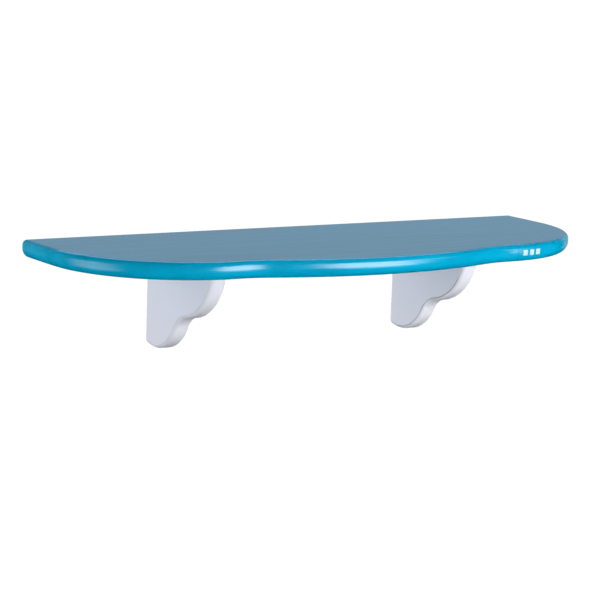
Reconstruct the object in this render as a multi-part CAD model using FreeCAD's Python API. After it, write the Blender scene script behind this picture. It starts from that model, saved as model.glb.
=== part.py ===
import FreeCAD, Part

import math
import os

from FreeCAD import Placement, Rotation, Vector

# A painted wall shelf: one board with a wavy front edge, carried by two sawn brackets
# that hang on keyhole plates. Millimetres. The origin is the middle of the board's back
# face, +X runs along the shelf, +Y goes into the wall and +Z is up.

# 18 mm fibreboard with 0.15 mm of paint on each face
painted_thickness = 18.3

# Shelf board
board_length = 600.0
board_depth = 217.0
board_thickness = painted_thickness
top_edge_radius = 5.0
bottom_edge_radius = 10.0
back_edge_radius = 0.5

# Front edge, from its middle towards each end: lobe, valley, shoulder, end
lobe_radius = 396.4
lobe_half_angle = 18.4
valley_radius = 110.0
valley_angle = 19.6
end_radius = 1030.0
end_angle = 2.3

# Brackets
bracket_spacing = 302.0
bracket_thickness = painted_thickness
bracket_depth = 133.0
bracket_front_slope = 7.6
front_lobe_radius = 66.0
front_lobe_angle = 71.9
cove_radius = 31.0
cove_angle = 50.2
lower_lobe_radius = 50.0
bracket_edge_radius = 5.0

# Dowels between board and bracket
dowel_radius = 4.0
dowel_length = 30.0
dowel_depth_in_board = 12.0
dowel_end_chamfer = 0.9
dowel_groove_count = 14
dowel_groove_radius = 0.35
dowel_distances_from_wall = {"back": 30.0, "front": 95.0}
glue_film = 0.05
glue_gap = 0.5

# Keyhole plates let into the backs of the brackets
plate_height = 40.0
plate_width = 13.0
plate_thickness = 1.5
plate_centre_below_board = 27.0
plate_set_back = 0.1
plate_clearance = 0.1
plate_screw_offset = 15.5
entry_radius = 5.0
entry_offset = -5.5
slot_radius = 2.5
slot_end_offset = 6.5
head_pocket_radius = 5.2
head_pocket_depth = 8.0

# Countersunk screws of the keyhole plates
plate_screw_length = 13.0
plate_screw_crest_radius = 1.45
plate_screw_root_radius = 1.0
plate_screw_pitch = 1.1
plate_screw_head_radius = 2.8
plate_screw_head_height = 1.4

# Edge label
label_width = 36.0
label_height = 12.4
label_corner_radius = 2.0
label_centre_height = 0.8
label_thickness = 0.2
label_bearing = -82.0
label_sweep = 24.0

# The screws' tip length per crest radius, and their recess's share of the head
screw_clearance = 0.05
tip_ratio = 1.6
recess_width_ratio = 0.5
recess_depth_ratio = 0.6

# How much longer than its solid a cutter is
overrun = 1.0

half_board = board_thickness / 2
underside = -half_board


def polar(point, angle, distance):
    """A point of a plane, moved by a distance at an angle in degrees."""
    turn = math.radians(angle)
    return point[0] + distance * math.cos(turn), point[1] + distance * math.sin(turn)


def tangent_arc(start, heading, radius, turn):
    """Middle, end, new heading and centre of an arc that leaves start; a positive turn bends left."""
    side = math.copysign(90.0, turn)
    centre = polar(start, heading + side, radius)
    middle = polar(centre, heading - side + turn / 2, radius)
    end = polar(centre, heading - side + turn, radius)
    return middle, end, heading + turn, centre


def sine(angle):
    return math.sin(math.radians(angle))


def board_front():
    """Half of the front edge: each arc's middle and end, and the shoulder's centre and radius."""
    valley_heading = lobe_half_angle - valley_angle
    shoulder_heading = 90.0 - end_angle
    reach = lobe_radius * sine(lobe_half_angle)
    reach += valley_radius * (sine(lobe_half_angle) - sine(valley_heading))
    reach += end_radius * (1.0 - sine(shoulder_heading))
    shoulder_radius = (board_length / 2 - reach) / (sine(shoulder_heading) - sine(valley_heading))
    runs = [
        (lobe_radius, lobe_half_angle),
        (valley_radius, -valley_angle),
        (shoulder_radius, shoulder_heading - valley_heading),
        (end_radius, end_angle),
    ]
    point = (0.0, -board_depth)
    heading = 0.0
    arcs = []
    centres = []
    for radius, turn in runs:
        middle, point, heading, centre = tangent_arc(point, heading, radius, turn)
        arcs.append((middle, point))
        centres.append(centre)
    return arcs, centres[2], shoulder_radius


def at_height(point, mirror, height):
    return Vector(mirror * point[0], point[1], height)


def board_outline():
    """The board's closed outline at its underside, as one wire."""
    arcs, _, _ = board_front()
    lobe_end = arcs[0][1]
    edges = [
        Part.Arc(
            at_height(lobe_end, -1, underside),
            Vector(0, -board_depth, underside),
            at_height(lobe_end, 1, underside),
        ).toShape()
    ]
    for mirror in (1, -1):
        start = lobe_end
        for middle, end in arcs[1:]:
            places = [at_height(point, mirror, underside) for point in (start, middle, end)]
            edges.append(Part.Arc(*places).toShape())
            start = end
        corner = Vector(mirror * board_length / 2, 0, underside)
        edges.append(Part.makeLine(at_height(start, mirror, underside), corner))
    left = Vector(-board_length / 2, 0, underside)
    right = Vector(board_length / 2, 0, underside)
    edges.append(Part.makeLine(left, right))
    return Part.Wire(Part.__sortEdges__(edges))


def edges_at(shape, height):
    """The edges that lie at one height, without those along the wall."""
    found = []
    for edge in shape.Edges:
        box = edge.BoundBox
        level = abs(box.ZMin - height) < 1e-6 and abs(box.ZMax - height) < 1e-6
        if level and box.YMin < -1e-3:
            found.append(edge)
    return found


def edges_on_wall(shape, highest):
    """The edges that lie in the wall plane, up to and including one height."""
    found = []
    for edge in shape.Edges:
        box = edge.BoundBox
        flat = abs(box.YMin) < 1e-6 and abs(box.YMax) < 1e-6
        if flat and box.ZMin < highest - 1e-3:
            found.append(edge)
    return found


def bracket_places():
    return {"left": -bracket_spacing / 2, "right": bracket_spacing / 2}


def rod(radius, length, start, direction):
    return Part.makeCylinder(radius, length, start, direction)


def upward(radius, x, distance_from_wall, low, high):
    """A vertical round bar between two heights."""
    return rod(radius, high - low, Vector(x, -distance_from_wall, low), Vector(0, 0, 1))


def shelf_board():
    board = Part.Face(board_outline()).extrude(Vector(0, 0, board_thickness))
    board = board.makeFillet(top_edge_radius, edges_at(board, half_board))
    board = board.makeFillet(bottom_edge_radius, edges_at(board, underside))
    board = board.makeFillet(back_edge_radius, edges_on_wall(board, board_thickness))
    cutters = []
    for x in bracket_places().values():
        top = underside + dowel_depth_in_board + glue_gap
        for distance in dowel_distances_from_wall.values():
            cutters.append(upward(dowel_radius + glue_film, x, distance, underside - overrun, top))
    return board.cut(cutters)


def bracket_profile(x):
    """The bracket's side outline at one x: top, front lobe, cove, lower lobe and back."""
    def place(point):
        return Vector(x, point[0], point[1])

    front = (-bracket_depth, underside)
    heading = bracket_front_slope - 90.0
    edges = []
    point = front
    for radius, turn in ((front_lobe_radius, front_lobe_angle), (cove_radius, -cove_angle)):
        middle, end, heading, _ = tangent_arc(point, heading, radius, turn)
        edges.append(Part.Arc(place(point), place(middle), place(end)).toShape())
        point = end
    centre = polar(point, heading + 90.0, lower_lobe_radius)
    last_bearing = -math.degrees(math.acos(-centre[0] / lower_lobe_radius))
    turn = last_bearing - (heading - 90.0)
    middle, end, _, _ = tangent_arc(point, heading, lower_lobe_radius, turn)
    edges.append(Part.Arc(place(point), place(middle), place(end)).toShape())
    back = (0.0, underside)
    edges.append(Part.makeLine(place(end), place(back)))
    edges.append(Part.makeLine(place(back), place(front)))
    return Part.Wire(edges)


def plate_height_of_centre():
    return underside - plate_centre_below_board


def stadium(x, half_width, low, high, back, depth):
    """A block with round ends that starts at y = back and goes depth out of the wall."""
    middle = Part.makeBox(2 * half_width, depth, high - low, Vector(x - half_width, back - depth, low))
    ends = [
        rod(half_width, depth, Vector(x, back, z), Vector(0, -1, 0))
        for z in (low, high)
    ]
    return middle.fuse(ends).removeSplitter()


def bracket(x):
    face = Part.Face(bracket_profile(x - bracket_thickness / 2))
    solid = face.extrude(Vector(bracket_thickness, 0, 0))
    curved = [
        edge for edge in solid.Edges
        if isinstance(edge.Curve, Part.Circle) and edge.BoundBox.XLength < 1e-6
    ]
    solid = solid.makeFillet(bracket_edge_radius, curved)
    solid = solid.makeFillet(back_edge_radius, edges_on_wall(solid, underside))
    middle = plate_height_of_centre()
    straight = plate_height / 2 - plate_width / 2
    recess_depth = plate_set_back + plate_thickness
    cutters = [
        stadium(
            x, plate_width / 2 + plate_clearance,
            middle - straight, middle + straight, 0.0, recess_depth,
        ),
        stadium(
            x, head_pocket_radius,
            middle + entry_offset, middle + slot_end_offset, 0.0, recess_depth + head_pocket_depth,
        ),
    ]
    for side in (-1, 1):
        start = Vector(x, 0, middle + side * plate_screw_offset)
        depth = plate_set_back + plate_screw_length + glue_gap
        radius = plate_screw_crest_radius + screw_clearance
        cutters.append(rod(radius, depth, start, Vector(0, -1, 0)))
    low = underside - (dowel_length - dowel_depth_in_board) - glue_gap
    for distance in dowel_distances_from_wall.values():
        cutters.append(upward(dowel_radius + glue_film, x, distance, low, underside + overrun))
    return solid.cut(cutters)


def dowel(x, distance_from_wall):
    """A beech dowel with chamfered ends and straight glue grooves."""
    low = underside - (dowel_length - dowel_depth_in_board)
    peg = upward(dowel_radius, x, distance_from_wall, low, low + dowel_length)
    ends = [edge for edge in peg.Edges if edge.BoundBox.ZLength < 1e-6]
    peg = peg.makeChamfer(dowel_end_chamfer, ends)
    grooves = []
    for step in range(dowel_groove_count):
        angle = 360.0 * step / dowel_groove_count
        place = polar((x, -distance_from_wall), angle, dowel_radius + dowel_groove_radius / 3)
        start = Vector(place[0], place[1], low - overrun)
        grooves.append(rod(dowel_groove_radius, dowel_length + 2 * overrun, start, Vector(0, 0, 1)))
    return peg.cut(grooves)


def turned(points):
    """A solid of revolution about Z from (radius, height) points that start and end on the axis."""
    places = [Vector(radius, 0, height) for radius, height in points]
    wire = Part.makePolygon(places + places[:1])
    return Part.Face(wire).revolve(Vector(0, 0, 0), Vector(0, 0, 1), 360)


def thread_points(crest, root, pitch, start, length):
    """A sharp screw thread's profile, drawn as separate ridges, and its pointed tip."""
    tip = tip_ratio * crest
    ridges = int((length - start - tip) / pitch)
    points = []
    for ridge in range(ridges):
        height = length - tip - (ridges - ridge) * pitch
        points += [(root, height), (crest, height + pitch / 2)]
    points += [(root, length - tip), (0, length)]
    return points


def cross_recess(head_radius, head_height, top):
    """The cross of a screwdriver recess that opens downwards at z = top."""
    reach = recess_width_ratio * head_radius
    depth = recess_depth_ratio * head_height
    blade = reach / 4
    lengthwise = Part.makeBox(2 * reach, blade, depth, Vector(-reach, -blade / 2, top))
    crosswise = Part.makeBox(blade, 2 * reach, depth, Vector(-blade / 2, -reach, top))
    return lengthwise.fuse(crosswise)


def plate_screw(x, height):
    """A countersunk screw whose flat head is flush with its plate and whose tip points out of the wall."""
    head = plate_screw_head_radius
    crest = plate_screw_crest_radius
    root = plate_screw_root_radius
    points = [(0, 0), (head, 0), (crest, plate_screw_head_height)]
    start = plate_screw_head_height
    points += thread_points(crest, root, plate_screw_pitch, start, plate_screw_length)
    screw = turned(points).cut(cross_recess(head, plate_screw_head_height, 0))
    turn = Rotation(Vector(0, 0, 1), Vector(0, -1, 0))
    screw.Placement = Placement(Vector(x, -plate_set_back, height), turn)
    return screw


def keyhole_plate(x):
    middle = plate_height_of_centre()
    straight = plate_height / 2 - plate_width / 2
    plate = stadium(
        x, plate_width / 2, middle - straight, middle + straight, -plate_set_back, plate_thickness
    )
    through = 2 * plate_thickness
    entry = rod(entry_radius, through, Vector(x, 0, middle + entry_offset), Vector(0, -1, 0))
    slot = stadium(x, slot_radius, middle + entry_offset, middle + slot_end_offset, 0.0, through)
    cutters = [entry, slot]
    for side in (-1, 1):
        start = Vector(x, -plate_set_back, middle + side * plate_screw_offset)
        head = plate_screw_head_radius + screw_clearance
        shank = plate_screw_crest_radius + screw_clearance
        cutters.append(Part.makeCone(head, shank, plate_screw_head_height, start, Vector(0, -1, 0)))
        cutters.append(rod(shank, through, start, Vector(0, -1, 0)))
    return plate.cut(cutters)


def edge_label():
    """A thin film with round corners that wraps the board's edge on the right-hand shoulder."""
    _, centre, shoulder_radius = board_front()
    flat_low = underside + bottom_edge_radius
    flat_high = half_board - top_edge_radius
    wrap = 60.0

    def side(offset):
        """The edge's outline in (radius, height), pushed out by offset, from low to high."""
        low_centre = (shoulder_radius - bottom_edge_radius, flat_low)
        high_centre = (shoulder_radius - top_edge_radius, flat_high)
        low = [polar(low_centre, angle, bottom_edge_radius + offset) for angle in (-wrap, -wrap / 2, 0)]
        high = [polar(high_centre, angle, top_edge_radius + offset) for angle in (0, wrap / 2, wrap)]
        low = [Vector(radius, 0, height) for radius, height in low]
        high = [Vector(radius, 0, height) for radius, height in high]
        edges = [Part.Arc(*low).toShape(), Part.makeLine(low[2], high[0]), Part.Arc(*high).toShape()]
        return edges, low[0], high[2]

    inner, inner_low, inner_high = side(0.0)
    outer, outer_low, outer_high = side(label_thickness)
    caps = [Part.makeLine(inner_low, outer_low), Part.makeLine(inner_high, outer_high)]
    section = Part.Face(Part.Wire(Part.__sortEdges__(inner + outer + caps)))
    band = section.revolve(Vector(0, 0, 0), Vector(0, 0, 1), label_sweep)
    band.rotate(Vector(0, 0, 0), Vector(0, 0, 1), -label_sweep / 2)
    low = label_centre_height - label_height / 2
    corner = Vector(shoulder_radius - bottom_edge_radius, -label_width / 2, low)
    block = Part.makeBox(2 * bottom_edge_radius, label_width, label_height, corner)
    corners = [edge for edge in block.Edges if edge.BoundBox.XLength > bottom_edge_radius]
    film = band.common(block.makeFillet(label_corner_radius, corners))
    film.rotate(Vector(0, 0, 0), Vector(0, 0, 1), label_bearing)
    film.translate(Vector(centre[0], centre[1], 0))
    return film


def export(name, shape):
    solids = shape.Solids
    if len(solids) != 1 or not shape.isValid():
        raise ValueError(f"{name} is not one valid solid")
    solids[0].exportStep(os.path.join("parts", name + ".step"))
    print(f"{name}: {solids[0].Volume / 1000:.3f} cm3")


def main():
    os.makedirs("parts", exist_ok=True)
    export("shelf_board", shelf_board())
    export("edge_label", edge_label())
    for side, x in bracket_places().items():
        export(f"bracket_{side}", bracket(x))
        export(f"keyhole_plate_{side}", keyhole_plate(x))
        for place, distance in dowel_distances_from_wall.items():
            export(f"dowel_{side}_{place}", dowel(x, distance))
        for place, direction in (("top", 1), ("bottom", -1)):
            height = plate_height_of_centre() + direction * plate_screw_offset
            export(f"plate_screw_{side}_{place}", plate_screw(x, height))


main()
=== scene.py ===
import math

import bpy
from mathutils import Matrix, Vector


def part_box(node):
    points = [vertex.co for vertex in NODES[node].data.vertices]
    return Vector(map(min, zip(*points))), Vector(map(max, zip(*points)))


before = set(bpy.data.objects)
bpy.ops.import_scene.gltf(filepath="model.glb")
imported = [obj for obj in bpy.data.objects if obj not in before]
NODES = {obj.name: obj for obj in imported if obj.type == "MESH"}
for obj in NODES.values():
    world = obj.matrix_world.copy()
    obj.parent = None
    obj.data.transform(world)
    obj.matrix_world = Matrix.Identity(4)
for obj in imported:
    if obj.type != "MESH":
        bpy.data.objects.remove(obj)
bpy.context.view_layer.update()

# A turquoise wall shelf on two white brackets, lit as a cut-out product shot. Metres, in the CAD frame:
# +X along the shelf, +Y into the wall, +Z up, the origin in the middle of the board's back face.

MM = 0.001
BOARD_LOW, BOARD_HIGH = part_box("shelf_board")
LABEL_LOW, LABEL_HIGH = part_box("edge_label")


# Camera --------------------------------------------------------------------------------------------

CAMERA_AZIMUTH = -32.154
CAMERA_ELEVATION = 9.779
CAMERA_ROLL = 2.039
CAMERA_DISTANCE = 2.24965
CAMERA_AIM = Vector((-0.02536, -0.07874, -0.05471))
CAMERA_LENS = 132.132
SENSOR_WIDTH = 36.0
CLIP_START = 0.05
CLIP_END = 200.0


def outward(azimuth, elevation):
    """The unit vector from the shelf towards a bearing: azimuth 0 is in front, 90 to its right."""
    a = math.radians(azimuth)
    e = math.radians(elevation)
    return Vector((math.sin(a) * math.cos(e), -math.cos(a) * math.cos(e), math.sin(e)))


def add_camera():
    data = bpy.data.cameras.new("camera")
    data.lens = CAMERA_LENS
    data.sensor_width = SENSOR_WIDTH
    data.clip_start = CLIP_START
    data.clip_end = CLIP_END
    camera = bpy.data.objects.new("camera", data)
    bpy.context.scene.collection.objects.link(camera)
    back = outward(CAMERA_AZIMUTH, CAMERA_ELEVATION)
    camera.location = CAMERA_AIM + CAMERA_DISTANCE * back
    aim = (-back).to_track_quat("-Z", "Y").to_matrix()
    roll = Matrix.Rotation(math.radians(CAMERA_ROLL), 3, "Z")
    camera.rotation_euler = (aim @ roll).to_euler()
    bpy.context.scene.camera = camera


# Node trees ----------------------------------------------------------------------------------------


class Tree:
    """A short way to write a node tree: sockets are linked, and numbers are set as values."""

    def __init__(self, tree):
        self.tree = tree
        tree.nodes.clear()

    def put(self, socket, value):
        if isinstance(value, bpy.types.NodeSocket):
            self.tree.links.new(value, socket)
        elif value is not None:
            socket.default_value = value

    def node(self, kind, inputs=(), **settings):
        made = self.tree.nodes.new(kind)
        for name, value in settings.items():
            setattr(made, name, value)
        for name, value in dict(inputs).items():
            self.put(made.inputs[name], value)
        return made

    def math(self, operation, a, b=None):
        made = self.node("ShaderNodeMath", operation=operation)
        for place, value in enumerate((a, b)):
            if value is not None:
                self.put(made.inputs[place], value)
        return made.outputs[0]

    def vector(self, operation, a, b=None):
        made = self.node("ShaderNodeVectorMath", operation=operation)
        self.put(made.inputs[0], a)
        if b is not None:
            self.put(made.inputs[1], b)
        return made.outputs["Value"] if operation == "DOT_PRODUCT" else made.outputs[0]

    def step(self, value, low, high, first=0.0, last=1.0):
        """A smooth ramp from first to last as value goes from low to high."""
        inputs = {"Value": value, "From Min": low, "From Max": high, "To Min": first, "To Max": last}
        return self.node("ShaderNodeMapRange", inputs, interpolation_type="SMOOTHSTEP").outputs[0]

    def mix(self, share, first, last):
        made = self.node("ShaderNodeMix", data_type="RGBA")
        self.put(made.inputs[0], share)
        self.put(made.inputs[6], first)
        self.put(made.inputs[7], last)
        return made.outputs[2]

    def noise(self, place, scale, detail, roughness=0.5):
        inputs = {"Vector": place, "Scale": scale, "Detail": detail, "Roughness": roughness}
        return self.node("ShaderNodeTexNoise", inputs).outputs[0]

    def stretched(self, place, scale):
        return self.node("ShaderNodeMapping", {"Vector": place, "Scale": scale}).outputs[0]

    def bump(self, height, distance, strength=1.0, normal=None):
        inputs = {"Height": height, "Distance": distance, "Strength": strength}
        made = self.node("ShaderNodeBump", inputs)
        if normal is not None:
            self.put(made.inputs["Normal"], normal)
        return made.outputs[0]


def colour(red, green, blue):
    return (red, green, blue, 1.0)


def surface(name, paint):
    """A material filled by paint(tree, place), which returns the inputs of the Principled shader."""
    material = bpy.data.materials.new(name)
    material.use_nodes = True
    tree = Tree(material.node_tree)
    place = tree.node("ShaderNodeTexCoord").outputs["Object"]
    inputs = paint(tree, place)
    shader = tree.node("ShaderNodeBsdfPrincipled", inputs)
    output = tree.node("ShaderNodeOutputMaterial")
    tree.tree.links.new(shader.outputs[0], output.inputs["Surface"])
    return material


def axes_of(tree, vector):
    return tree.node("ShaderNodeSeparateXYZ", {"Vector": vector}).outputs


def sharp_edge_mask(tree, radius):
    """0 on flat faces, rising to 1 at edges sharper than the radius."""
    rounded = tree.node("ShaderNodeBevel", {"Radius": radius}, samples=6).outputs[0]
    true = tree.node("ShaderNodeNewGeometry").outputs["Normal"]
    return tree.step(tree.vector("DOT_PRODUCT", rounded, true), 0.995, 0.86)


# Materials -----------------------------------------------------------------------------------------

TURQUOISE = colour(0.0, 0.41, 0.665)
TURQUOISE_DEEP = colour(0.0, 0.355, 0.585)
TURQUOISE_PALE = colour(0.0, 0.455, 0.735)
TURQUOISE_DARKENED = colour(0.0, 0.10, 0.16)
WHITE = colour(0.83, 0.845, 0.945)
WHITE_SHADE = colour(0.80, 0.815, 0.915)
# Painted light and shade for the brackets' rounded edges: brighter where they face forward, darker
# where they face down
WHITE_EDGE_PAINTED_LIGHT = colour(0.925, 0.935, 1.0)
WHITE_UNDER_PAINTED_SHADE = colour(0.83, 0.83, 0.92)
WHITE_DARKENED = colour(0.20, 0.21, 0.24)
FIBRE_LIGHT = colour(0.42, 0.29, 0.17)
FIBRE_DARK = colour(0.27, 0.17, 0.09)
LABEL_PALE = colour(0.62, 0.85, 0.92)
ZINC_BLUE = colour(0.60, 0.61, 0.66)
ZINC_YELLOW = colour(0.72, 0.69, 0.60)
BEECH_DARK = colour(0.50, 0.31, 0.16)
BEECH_LIGHT = colour(0.70, 0.50, 0.31)
BEECH_FLECK = colour(0.30, 0.16, 0.08)

PAINT_IOR = 1.5
WAVE_DEPTH = 0.05 * MM
BOARD_PEEL_DEPTH = 0.010 * MM
DRAG_DEPTH = 0.02 * MM
BRACKET_PEEL_DEPTH = 0.014 * MM
FIBRE_DEPTH = 0.03 * MM
BOARD_DARK_EDGE_RADIUS = 0.6 * MM
BRACKET_DARK_EDGE_RADIUS = 0.8 * MM


# Darker rim along the wall, and the recess that each keyhole plate is let into
BACK_RIM = 1.2 * MM
RECESS_DEPTH = 9.7 * MM
RECESS_LOW = -48.0 * MM
RECESS_HIGH = -6.0 * MM
RECESS_HALF_WIDTH = 6.7 * MM
RECESS_MOUTH = 0.05 * MM

# The label's squares, as shares of half its width and of half its height
SQUARE_SPACING = 0.5
SQUARE_HALF = 0.42
SQUARE_SIDE_BLUR = 0.03
SQUARE_TOP_BLUR = 0.08

# How far sideways the surface faces across the line between a bracket's side and its rounded edge
ARRIS_LOW = 0.81
ARRIS_HIGH = 0.95


def fibreboard(tree, place):
    """Raw cut fibreboard: fine mottled fibres."""
    fibres = tree.noise(tree.stretched(place, (900, 900, 260)), 1.0, 3.0, 0.6)
    return tree.mix(fibres, FIBRE_DARK, FIBRE_LIGHT)


def board_paint(tree, place):
    """Satin turquoise, rolled on along the board, with a darker rim along the wall."""
    normal = axes_of(tree, tree.node("ShaderNodeNewGeometry").outputs["Normal"])
    facing_up = tree.step(normal["Z"], 0.6, 0.98)
    strokes = tree.noise(tree.stretched(place, (4, 70, 70)), 1.0, 4.0, 0.6)
    cloud = tree.noise(tree.stretched(place, (5, 12, 12)), 1.0, 3.0, 0.5)
    shade = tree.mix(tree.step(strokes, 0.25, 0.75), TURQUOISE_DEEP, TURQUOISE_PALE)
    shade = tree.mix(tree.step(cloud, 0.3, 0.7, 0.0, 0.4), shade, TURQUOISE)
    # Sharp edges and the rim along the wall are painted a darker turquoise
    darkened = tree.math("MULTIPLY", sharp_edge_mask(tree, BOARD_DARK_EDGE_RADIUS), 0.5)
    rim = tree.step(axes_of(tree, place)["Y"], -BACK_RIM, -0.2 * BACK_RIM, 0.0, 0.7)
    shade = tree.mix(tree.math("MAXIMUM", darkened, rim), shade, TURQUOISE_DARKENED)
    peel = tree.noise(place, 420.0, 1.0, 0.4)
    waves = tree.noise(place, 38.0, 2.0, 0.5)
    drag = tree.noise(tree.stretched(place, (9, 160, 160)), 1.0, 2.0, 0.5)
    relief = tree.bump(waves, WAVE_DEPTH, tree.step(facing_up, 0.0, 1.0, 0.45, 0.12))
    relief = tree.bump(peel, BOARD_PEEL_DEPTH, 0.2, relief)
    relief = tree.bump(drag, DRAG_DEPTH, tree.math("MULTIPLY", facing_up, 0.3), relief)
    return {
        "Base Color": shade,
        "Roughness": tree.step(strokes, 0.25, 0.75, 0.12, 0.18),
        "Normal": relief,
        "IOR": PAINT_IOR,
    }


def inside_recess(tree, place):
    """1 on the faces cut for a keyhole plate in a bracket's back, 0 on the painted ones."""
    at = axes_of(tree, place)
    middle = abs(sum(corner.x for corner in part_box("keyhole_plate_right")) / 2)
    aside = tree.math("ABSOLUTE", at["X"])
    off_centre = tree.math("ABSOLUTE", tree.math("SUBTRACT", aside, middle))
    found = tree.math("LESS_THAN", off_centre, RECESS_HALF_WIDTH)
    limits = (("Y", -RECESS_DEPTH, -RECESS_MOUTH), ("Z", RECESS_LOW, RECESS_HIGH))
    for axis, low, high in limits:
        found = tree.math("MULTIPLY", found, tree.math("GREATER_THAN", at[axis], low))
        found = tree.math("MULTIPLY", found, tree.math("LESS_THAN", at[axis], high))
    return found


def bracket_paint(tree, place):
    """Satin white over cut fibreboard, with a thin darker line where each side face meets the rounded
    edge.

    The thin line is fainter on the left bracket than on the right one.
    """
    normal = axes_of(tree, tree.node("ShaderNodeNewGeometry").outputs["Normal"])
    sideways = tree.math("ABSOLUTE", normal["X"])
    face = tree.step(sideways, 0.5, 0.95)
    cloud = tree.noise(place, 22.0, 4.0, 0.55)
    fine = tree.noise(tree.stretched(place, (700, 380, 380)), 1.0, 3.0, 0.6)
    # Painted light and shade: the rounded edge is painted brighter where it faces forward and darker
    # where it faces down
    edge = tree.mix(tree.step(normal["Z"], -0.95, -0.5), WHITE_UNDER_PAINTED_SHADE, WHITE_EDGE_PAINTED_LIGHT)
    shade = tree.mix(face, edge, tree.mix(cloud, WHITE_SHADE, WHITE))
    middle = (ARRIS_LOW + ARRIS_HIGH) / 2
    arris = tree.step(sideways, ARRIS_LOW, middle)
    arris = tree.math("MULTIPLY", arris, tree.step(sideways, middle, ARRIS_HIGH, 1.0, 0.0))
    patches = tree.noise(place, 45.0, 2.0)
    arris = tree.math("MULTIPLY", arris, tree.step(patches, 0.35, 0.65, 0.45, 1.0))
    at = axes_of(tree, place)
    arris = tree.math("MULTIPLY", arris, tree.step(at["X"], -0.15, 0.15, 0.25, 1.0))
    rim = tree.step(at["Y"], -BACK_RIM, -0.1 * BACK_RIM, 0.0, 0.6)
    # The line along each rounded edge, sharp edges and the rim along the wall are painted a darker grey
    darkened = tree.math("MULTIPLY", sharp_edge_mask(tree, BRACKET_DARK_EDGE_RADIUS), 0.35)
    darkened = tree.math("MAXIMUM", tree.math("MAXIMUM", arris, darkened), rim)
    shade = tree.mix(darkened, shade, WHITE_DARKENED)
    bare = inside_recess(tree, place)
    shade = tree.mix(bare, shade, fibreboard(tree, place))
    peel = tree.noise(place, 560.0, 2.0, 0.4)
    relief = tree.bump(peel, BRACKET_PEEL_DEPTH, 0.6)
    relief = tree.bump(fine, FIBRE_DEPTH, tree.step(face, 0.0, 1.0, 0.6, 0.0), relief)
    painted = tree.step(face, 0.0, 1.0, 0.4, 0.36)
    roughness = tree.math("MAXIMUM", painted, tree.math("MULTIPLY", bare, 0.9))
    return {"Base Color": shade, "Roughness": roughness, "Normal": relief, "IOR": PAINT_IOR}


def zinc(tree, place):
    """Bright zinc plate with faint spangle, drawn scratches and a yellow-blue bloom."""
    bloom = tree.noise(place, 160.0, 3.0, 0.6)
    scratches = tree.noise(tree.stretched(place, (4000, 4000, 300)), 1.0, 2.0, 0.7)
    shade = tree.mix(bloom, ZINC_BLUE, ZINC_YELLOW)
    relief = tree.bump(scratches, 0.01 * MM, 0.5)
    roughness = tree.step(scratches, 0.2, 0.8, 0.24, 0.42)
    return {"Base Color": shade, "Metallic": 1.0, "Roughness": roughness, "Normal": relief}


def beech(tree, place):
    """Bare beech with its grain along the dowel and short dark flecks."""
    grain = tree.noise(tree.stretched(place, (500, 500, 40)), 1.0, 4.0, 0.6)
    flecks = tree.noise(tree.stretched(place, (2600, 2600, 420)), 1.0, 2.0, 0.5)
    shade = tree.mix(grain, BEECH_DARK, BEECH_LIGHT)
    shade = tree.mix(tree.step(flecks, 0.62, 0.72, 0.0, 0.55), shade, BEECH_FLECK)
    relief = tree.bump(grain, 0.05 * MM, 0.5)
    roughness = tree.step(grain, 0.3, 0.7, 0.55, 0.7)
    return {"Base Color": shade, "Roughness": roughness, "Normal": relief}


def label_film(tree, place):
    """Clear film over turquoise, printed with three equal plain squares in one pale colour."""
    centre = (LABEL_LOW + LABEL_HIGH) / 2
    half = (LABEL_HIGH - LABEL_LOW) / 2
    local = axes_of(tree, tree.vector("SUBTRACT", place, tuple(centre)))
    across = tree.math("DIVIDE", local["X"], half.x)
    up = tree.math("DIVIDE", local["Z"], half.z)

    above = tree.math("ABSOLUTE", up)
    within_height = tree.step(above, SQUARE_HALF, SQUARE_HALF + SQUARE_TOP_BLUR, 1.0, 0.0)
    half_width = SQUARE_HALF * half.z / half.x

    ink = tree.noise(place, 900.0, 2.0, 0.5)
    shade = tree.mix(ink, TURQUOISE_DEEP, TURQUOISE_PALE)
    for number in (-1, 0, 1):
        aside = tree.math("ABSOLUTE", tree.math("SUBTRACT", across, number * SQUARE_SPACING))
        within_width = tree.step(aside, half_width, half_width + SQUARE_SIDE_BLUR, 1.0, 0.0)
        shade = tree.mix(tree.math("MULTIPLY", within_width, within_height), shade, LABEL_PALE)
    relief = tree.bump(tree.noise(place, 500.0, 2.0), 0.008 * MM, 0.5)
    roughness = tree.step(ink, 0.2, 0.8, 0.14, 0.2)
    return {"Base Color": shade, "Roughness": roughness, "Normal": relief}


def dress(names, slot, paint):
    """Gives CAD nodes a material, and names the slot of the record that it stands for."""
    material = surface(slot, paint)
    for name in names:
        node = NODES[name]
        node.data.materials.clear()
        node.data.materials.append(material)


def nodes_named(start):
    return [name for name in sorted(NODES) if name.startswith(start)]


def dress_all():
    dress(["shelf_board"], "board_paint", board_paint)
    dress(nodes_named("bracket"), "bracket_paint", bracket_paint)
    dress(nodes_named("plate_screw"), "screw_steel", zinc)
    dress(nodes_named("keyhole_plate"), "plate_steel", zinc)
    dress(nodes_named("dowel"), "dowel_wood", beech)
    dress(["edge_label"], "label_film", label_film)


# Studio --------------------------------------------------------------------------------------------

FLOOR_HEIGHT = -0.9
FLOOR_SIZE = 60.0
SEEN_WHITE = 1.03
PLAIN = colour(1, 1, 1)

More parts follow.
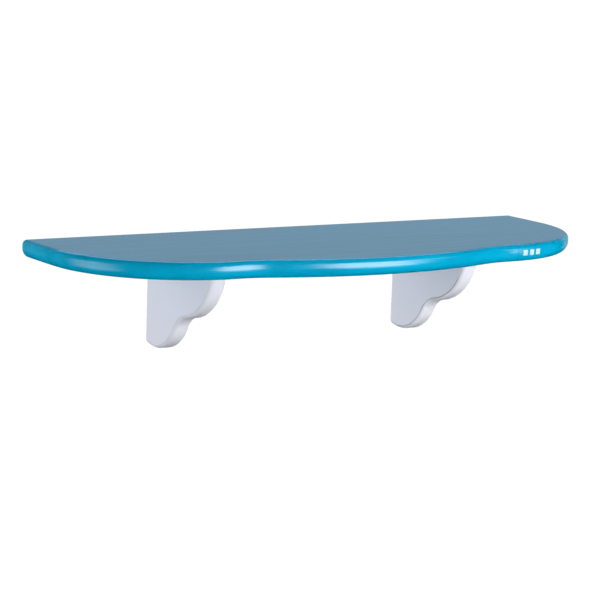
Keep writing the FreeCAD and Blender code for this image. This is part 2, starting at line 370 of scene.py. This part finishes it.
# What the paint mirrors behind the shelf: a grey backdrop under a bright patch. Spans are in degrees
# either side of the bearing, outer edge first, and heights are the sine of the elevation
BACKDROP_BEARING = 157.0
BACKDROP_LEVEL = 0.371
BACKDROP_SPAN = (53, 41)
BACKDROP_FOOT = (-0.3, -0.2)
BACKDROP_DIM = (0.26, 0.36)
BACKDROP_DIMMED = 0.4
BACKDROP_TOP = (0.86, 0.93)
PATCH_BEARING = 152.0
PATCH_LEVEL = 1.95
PATCH_SPAN = (31, 23)
PATCH_FOOT = (0.47, 0.56)
PATCH_TINT = colour(0.82, 0.92, 1.12)

# Brightness of the room all round, which only lights matt surfaces
ROOM_LEVEL = 0.24
ROOM_LOW = 0.02
ROOM_HIGH = 0.20
ROOM_FOOT = (-0.75, -0.55)
ROOM_SHOULDER = (0.3, 0.6)

# Share of a softbox's radius that is fully bright
SOFTBOX_FULL = 0.3


def mix_shaders(tree, share, first, last):
    made = tree.node("ShaderNodeMixShader")
    for place, value in enumerate((share, first, last)):
        tree.put(made.inputs[place], value)
    return made.outputs[0]


def add_floor():
    """A plain pale floor that is seen by the camera from above and lets everything else through."""
    data = bpy.data.meshes.new("floor")
    half = FLOOR_SIZE / 2
    corners = [(-half, -half), (half, -half), (half, half), (-half, half)]
    data.from_pydata([(x, y, FLOOR_HEIGHT) for x, y in corners], [], [(0, 1, 2, 3)])
    floor = bpy.data.objects.new("floor", data)
    bpy.context.scene.collection.objects.link(floor)
    material = bpy.data.materials.new("floor")
    material.use_nodes = True
    tree = Tree(material.node_tree)
    seen = tree.node("ShaderNodeLightPath").outputs["Is Camera Ray"]
    white = tree.node("ShaderNodeEmission", {"Color": PLAIN, "Strength": SEEN_WHITE}).outputs[0]
    clear = tree.node("ShaderNodeBsdfTransparent").outputs[0]
    shown = mix_shaders(tree, seen, clear, white)
    from_below = tree.node("ShaderNodeNewGeometry").outputs["Backfacing"]
    shown = mix_shaders(tree, from_below, shown, clear)
    output = tree.node("ShaderNodeOutputMaterial")
    tree.put(output.inputs["Surface"], shown)
    data.materials.append(material)


def add_world():
    """White as the camera sees it, and the backdrop, the patch and the room for everything else."""
    world = bpy.data.worlds.new("studio")
    bpy.context.scene.world = world
    world.use_nodes = True
    tree = Tree(world.node_tree)
    way = tree.node("ShaderNodeTexCoord").outputs["Generated"]
    height = axes_of(tree, way)["Z"]
    level = tree.vector("NORMALIZE", tree.vector("MULTIPLY", way, (1, 1, 0)))

    def within(bearing, span):
        """1 near a bearing and 0 away from it, with the two angles that the edge runs between."""
        outer, inner = (math.cos(math.radians(angle)) for angle in span)
        along = tree.vector("DOT_PRODUCT", level, tuple(outward(bearing, 0)))
        return tree.step(along, outer, inner)

    top = tree.step(height, *BACKDROP_TOP, 1.0, 0.0)
    backdrop = tree.math("MULTIPLY", within(BACKDROP_BEARING, BACKDROP_SPAN), BACKDROP_LEVEL)
    backdrop = tree.math("MULTIPLY", backdrop, tree.step(height, *BACKDROP_FOOT))
    dimmed = tree.step(height, *BACKDROP_DIM, 1.0, BACKDROP_DIMMED)
    backdrop = tree.math("MULTIPLY", backdrop, dimmed)
    backdrop = tree.math("MULTIPLY", backdrop, top)
    patch = tree.math("MULTIPLY", within(PATCH_BEARING, PATCH_SPAN), tree.step(height, *PATCH_FOOT))
    patch = tree.math("MULTIPLY", patch, top)
    room = tree.step(height, *ROOM_FOOT, ROOM_LOW, ROOM_LEVEL)
    raised = tree.step(height, *ROOM_SHOULDER, 0.0, ROOM_HIGH - ROOM_LEVEL)
    room = tree.math("ADD", room, raised)
    rays = tree.node("ShaderNodeLightPath").outputs
    room = tree.math("MULTIPLY", rays["Is Diffuse Ray"], room)
    light = tree.math("MAXIMUM", backdrop, tree.math("MULTIPLY", patch, PATCH_LEVEL))
    light = tree.math("MAXIMUM", light, room)
    tint = tree.mix(patch, PLAIN, PATCH_TINT)
    felt = tree.node("ShaderNodeBackground", {"Color": tint, "Strength": light}).outputs[0]
    seen = tree.node("ShaderNodeBackground", {"Color": PLAIN, "Strength": SEEN_WHITE}).outputs[0]
    output = tree.node("ShaderNodeOutputWorld")
    tree.put(output.inputs["Surface"], mix_shaders(tree, rays["Is Camera Ray"], felt, seen))


def soften(light, full):
    """Fades a softbox: fully bright out to a share of its radius, and nothing at its rim."""
    light.use_nodes = True
    tree = Tree(light.node_tree)
    at = tree.node("ShaderNodeNewGeometry").outputs["Parametric"]
    offset = tree.vector("SUBTRACT", at, (0.5, 0.5, 0.0))
    length = tree.math("SQRT", tree.vector("DOT_PRODUCT", offset, offset))
    radius = tree.math("MULTIPLY", length, 2.0)
    fade = tree.step(radius, full, 1.0, 1.0, 0.0)
    glow = tree.node("ShaderNodeEmission", {"Strength": fade}).outputs[0]
    tree.put(tree.node("ShaderNodeOutputLight").inputs["Surface"], glow)


def add_softbox(name, bearing, size, brightness, distance=1.8, tint=(1, 1, 1), mirrored=True):
    """An oval softbox at a bearing from the shelf. Unless mirrored, it makes no highlight."""
    width, height = size
    data = bpy.data.lights.new(name, "AREA")
    data.shape = "ELLIPSE"
    data.size = width
    data.size_y = height
    data.color = tint
    data.energy = brightness * math.pi * width * height * math.pi / 4
    light = bpy.data.objects.new(name, data)
    bpy.context.scene.collection.objects.link(light)
    middle = Vector((0, (BOARD_LOW.y + BOARD_HIGH.y) / 2, 0))
    back = outward(*bearing)
    light.location = middle + distance * back
    light.rotation_euler = back.to_track_quat("Z", "Y").to_euler()
    light.visible_camera = False
    light.visible_glossy = mirrored
    if mirrored:
        soften(data, SOFTBOX_FULL)


add_camera()
dress_all()
add_floor()
add_world()
add_softbox("key", (23, -4), (1.68, 1.38), 9.4)
add_softbox("key_wing", (48, 2), (0.42, 0.55), 1.8)
add_softbox("fill", (-97, -18), (5.2, 5.4), 2.45, distance=4.5)
add_softbox("front", (5, 0), (2.0, 1.5), 0.8, tint=(0.96, 0.98, 1.1), mirrored=False)
add_softbox("wash", (-132, -5), (2.8, 1.9), 1.2, mirrored=False)
add_softbox("overhead", (150, 60), (1.5, 1.5), 1.6, tint=(0.7, 0.78, 1.0), mirrored=False)

bpy.context.scene.view_settings.view_transform = "Standard"
